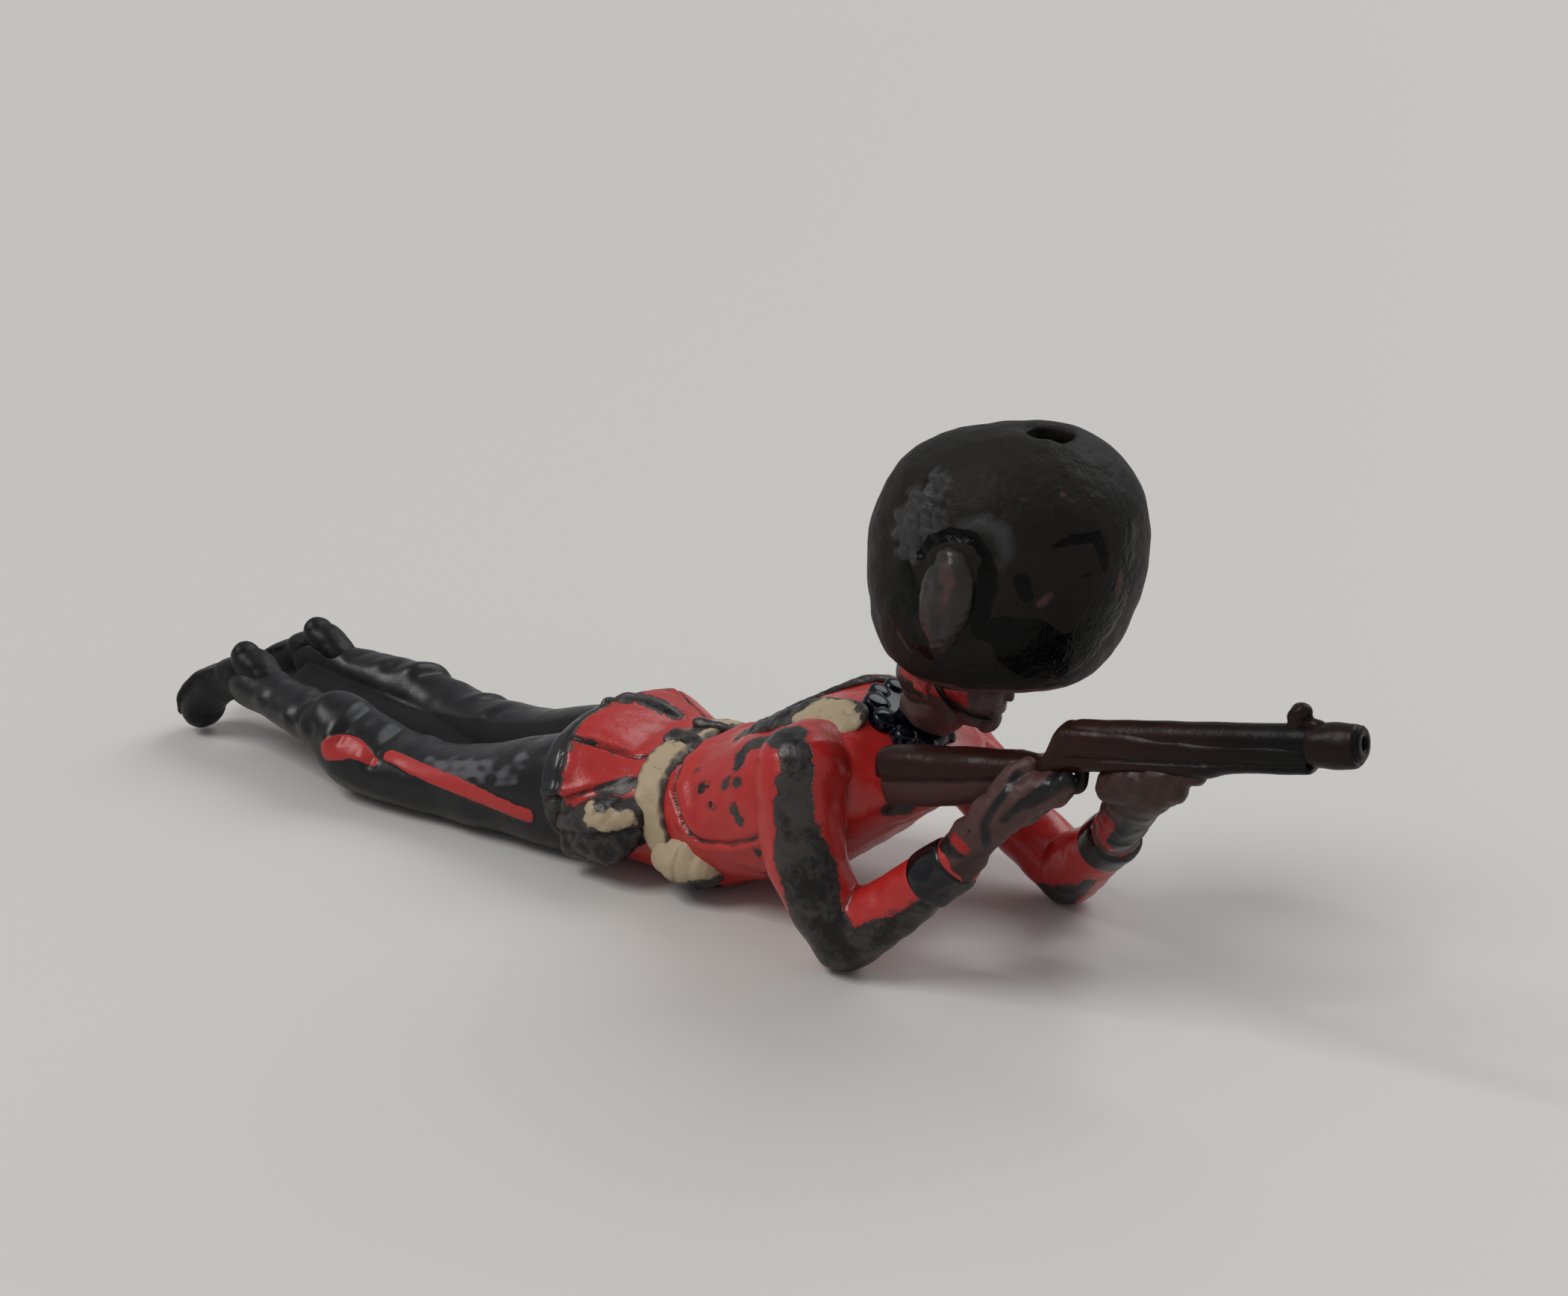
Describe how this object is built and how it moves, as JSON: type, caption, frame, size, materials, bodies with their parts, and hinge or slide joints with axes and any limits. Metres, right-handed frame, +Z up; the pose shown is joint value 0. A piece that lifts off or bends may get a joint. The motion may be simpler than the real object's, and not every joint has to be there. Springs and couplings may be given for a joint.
{
  "type": "toy soldier figure",
  "caption": "Hollow-cast metal toy soldier in a bearskin cap, lying prone and aiming a rifle, with a head that turns on a neck spigot.",
  "frame": {"origin": "on the table surface under the middle of the waist belt, where the belly rests", "axes": "+X forward along the figure to the muzzle of the rifle, +Y to the figure's left, +Z up from the table"},
  "size_m": [0.075, 0.017, 0.0259],
  "materials": {
    "scarlet_tunic": "semi-gloss scarlet enamel, chipped to bare metal",
    "cream_kit": "matt cream enamel, dirty and worn",
    "black_enamel": "gloss black enamel, rubbed along the edges",
    "trouser_black": "semi-gloss black enamel with grey scuffs and a red stripe",
    "bearskin_black": "gloss black enamel, scraped to dark metal in streaks",
    "collar_blue": "gloss dark blue enamel",
    "flesh_paint": "worn flesh enamel over dark metal",
    "plume_paint": "worn brown pink enamel",
    "stock_brown": "red brown enamel, glossy on the comb",
    "gun_metal": "dark tarnished lead alloy"
  },
  "bodies": {
    "figure": {"tunic_body": "scarlet_tunic", "tunic_skirt": "scarlet_tunic", "waist_belt": "cream_kit", "right_pouch": "cream_kit", "left_pouch": "cream_kit", "right_brace": "cream_kit", "left_brace": "cream_kit", "haversack": "cream_kit", "collar": "collar_blue", "right_upper_arm": "scarlet_tunic", "left_upper_arm": "scarlet_tunic", "right_forearm": "scarlet_tunic", "left_forearm": "scarlet_tunic", "right_cuff": "black_enamel", "left_cuff": "black_enamel", "right_hand": "flesh_paint", "left_hand": "flesh_paint", "rifle_stock": "stock_brown", "rifle_barrel": "gun_metal", "nose_cap": "gun_metal", "front_sight": "gun_metal", "trigger_guard": "gun_metal", "right_thigh": "trouser_black", "left_thigh": "trouser_black", "right_shin": "trouser_black", "left_shin": "trouser_black", "right_boot": "black_enamel", "left_boot": "black_enamel"},
    "head": {"neck_spigot": "gun_metal", "head": "flesh_paint", "chin_strap": "black_enamel", "bearskin_cap": "bearskin_black", "plume": "plume_paint"}
  },
  "joints": [
    {"name": "head_turn", "type": "hinge", "parent": "figure", "child": "head", "pos_m": [0.01145, 0, 0.00968], "axis": [0.454, 0, 0.891], "range_deg": [-20, 20]}
  ]
}
